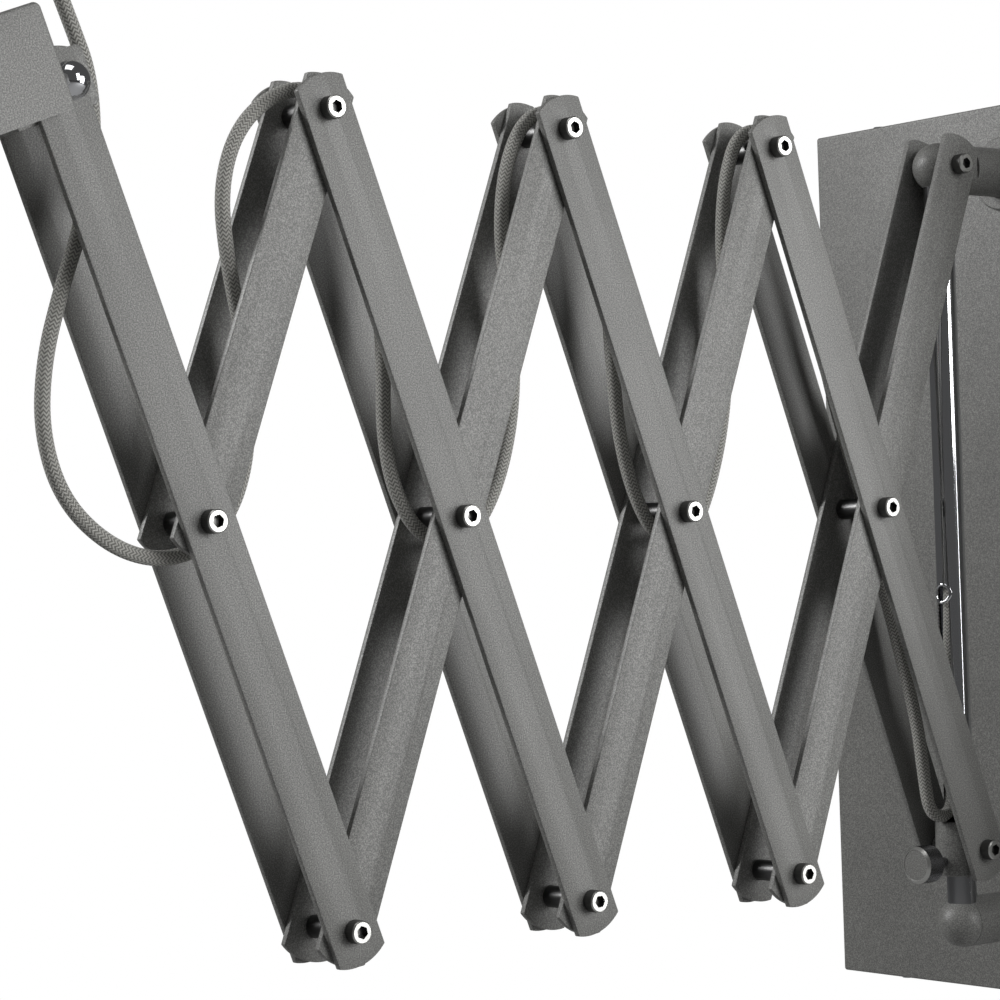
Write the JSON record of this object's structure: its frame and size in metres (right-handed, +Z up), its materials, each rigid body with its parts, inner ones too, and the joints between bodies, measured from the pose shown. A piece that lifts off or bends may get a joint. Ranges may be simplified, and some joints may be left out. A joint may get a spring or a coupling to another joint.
{
  "type": "accordion wall lamp",
  "caption": "Wall lamp whose box head rides on a scissor arm of flat bars that slides on a tube before a rectangular wall plate, with a braided cord woven through the arm.",
  "frame": {"origin": "centre of the wall plate's back, on the wall, midway between the four wall-screw holes", "axes": "+Z up, -Y out from the wall towards the head, X along the pivots; +X is the side with the ball knob"},
  "size_m": [0.27, 0.7625, 0.5292],
  "materials": {
    "powder_coat": "fine sand-textured dark grey powder coat",
    "coated_aluminium": "fine sand-textured dark grey powder coat",
    "chrome": "polished",
    "black_steel": "black oxide, knurled",
    "spacer_steel": "semi-gloss black",
    "dark_chrome": "ridged black nickel with a bright rim",
    "zinc": "zinc plated",
    "nylon": "satin nylon",
    "black_plastic": "satin",
    "white_plastic": "satin",
    "opal": "opal diffuser",
    "aluminium": "extruded",
    "board": "white solder mask",
    "braid": "grey herringbone textile braid"
  },
  "bodies": {
    "wall_unit": {"wall_cover": "powder_coat", "wall_rails": "zinc", "rail_screws": "zinc", "led_driver": "white_plastic", "terminal_block": "black_plastic", "upper_post": "powder_coat", "lower_post": "powder_coat", "post_flanges": "powder_coat", "post_nuts": "zinc", "slide_tube": "chrome", "slot_grommet": "chrome", "wall_pivot_screws": "black_steel", "cord_wall": "braid"},
    "slider": {"slider_collar": "powder_coat", "slider_bush": "nylon", "slider_screws": "black_steel", "cord_slider": "braid"},
    "thumb": {"thumb_screw": "dark_chrome"},
    "head": {"head_housing": "coated_aluminium", "head_block": "coated_aluminium", "head_screws": "zinc", "head_axle": "black_steel", "heat_sink": "aluminium", "led_board": "board", "diffuser": "opal", "cord_gland": "black_plastic", "cord_head": "braid"},
    "ball": {"ball_knob": "chrome"},
    "up_links_1": {"up_link_1_near": "powder_coat", "up_link_1_far": "powder_coat", "cord_bay_1": "braid"},
    "down_links_1": {"down_link_1_near": "powder_coat", "down_link_1_far": "powder_coat", "spacers_1": "spacer_steel", "screws_1": "black_steel", "washers_1": "nylon"},
    "up_links_2": {"up_link_2_near": "powder_coat", "up_link_2_far": "powder_coat", "cord_bay_2": "braid"},
    "down_links_2": {"down_link_2_near": "powder_coat", "down_link_2_far": "powder_coat", "spacers_2": "spacer_steel", "screws_2": "black_steel", "washers_2": "nylon"},
    "up_links_3": {"up_link_3_near": "powder_coat", "up_link_3_far": "powder_coat", "cord_bay_3": "braid"},
    "down_links_3": {"down_link_3_near": "powder_coat", "down_link_3_far": "powder_coat", "spacers_3": "spacer_steel", "screws_3": "black_steel", "washers_3": "nylon"},
    "up_links_4": {"up_link_4_near": "powder_coat", "up_link_4_far": "powder_coat"},
    "down_links_4": {"down_link_4_near": "powder_coat", "down_link_4_far": "powder_coat", "spacers_4": "spacer_steel", "screws_4": "black_steel", "washers_4": "nylon", "cord_tail": "braid"}
  },
  "joints": [
    {"name": "fold", "type": "hinge", "parent": "wall_unit", "child": "up_links_4", "pos_m": [0, -0.072, 0.194], "axis": [-1, 0, 0], "range_deg": [-5, 28]},
    {"name": "crossing_4", "type": "hinge", "parent": "up_links_4", "child": "down_links_4", "pos_m": [0, -0.13704, 0.02188], "axis": [-1, 0, 0], "range_deg": [-56, 10], "deforming": ["cord_tail"]},
    {"name": "upper_pivot_3", "type": "hinge", "parent": "down_links_4", "child": "up_links_3", "pos_m": [0, -0.20208, 0.194], "axis": [-1, 0, 0], "range_deg": [-10, 56], "deforming": ["cord_bay_3"]},
    {"name": "crossing_3", "type": "hinge", "parent": "up_links_3", "child": "down_links_3", "pos_m": [0, -0.26712, 0.02188], "axis": [-1, 0, 0], "range_deg": [-56, 10]},
    {"name": "upper_pivot_2", "type": "hinge", "parent": "down_links_3", "child": "up_links_2", "pos_m": [0, -0.33216, 0.194], "axis": [-1, 0, 0], "range_deg": [-10, 56], "deforming": ["cord_bay_2"]},
    {"name": "crossing_2", "type": "hinge", "parent": "up_links_2", "child": "down_links_2", "pos_m": [0, -0.3972, 0.02188], "axis": [-1, 0, 0], "range_deg": [-56, 10]},
    {"name": "upper_pivot_1", "type": "hinge", "parent": "down_links_2", "child": "up_links_1", "pos_m": [0, -0.46224, 0.194], "axis": [-1, 0, 0], "range_deg": [-10, 56], "deforming": ["cord_bay_1"]},
    {"name": "crossing_1", "type": "hinge", "parent": "up_links_1", "child": "down_links_1", "pos_m": [0, -0.52728, 0.02188], "axis": [-1, 0, 0], "range_deg": [-56, 10]},
    {"name": "head_tilt", "type": "hinge", "parent": "down_links_1", "child": "head", "pos_m": [0, -0.59232, 0.194], "axis": [-1, 0, 0], "range_deg": [-28, 45], "deforming": ["cord_head"]},
    {"name": "ball_turn", "type": "hinge", "parent": "head", "child": "ball", "pos_m": [0, -0.59232, 0.194], "axis": [1, 0, 0], "range_deg": [0, 360]},
    {"name": "slider_pivot", "type": "hinge", "parent": "down_links_4", "child": "slider", "pos_m": [0, -0.072, -0.15024], "axis": [-1, 0, 0], "range_deg": [-5, 28], "deforming": ["cord_slider"]},
    {"name": "thumb_turn", "type": "hinge", "parent": "slider", "child": "thumb", "pos_m": [0, -0.072, -0.15644], "axis": [0, -1, 0], "range_deg": [0, 360]}
  ],
  "couplings": [
    {"joint": "crossing_4", "follows": "fold", "ratio": -2},
    {"joint": "upper_pivot_3", "follows": "fold", "ratio": 2},
    {"joint": "crossing_3", "follows": "fold", "ratio": -2},
    {"joint": "upper_pivot_2", "follows": "fold", "ratio": 2},
    {"joint": "crossing_2", "follows": "fold", "ratio": -2},
    {"joint": "upper_pivot_1", "follows": "fold", "ratio": 2},
    {"joint": "crossing_1", "follows": "fold", "ratio": -2},
    {"joint": "slider_pivot", "follows": "fold", "ratio": 1}
  ]
}
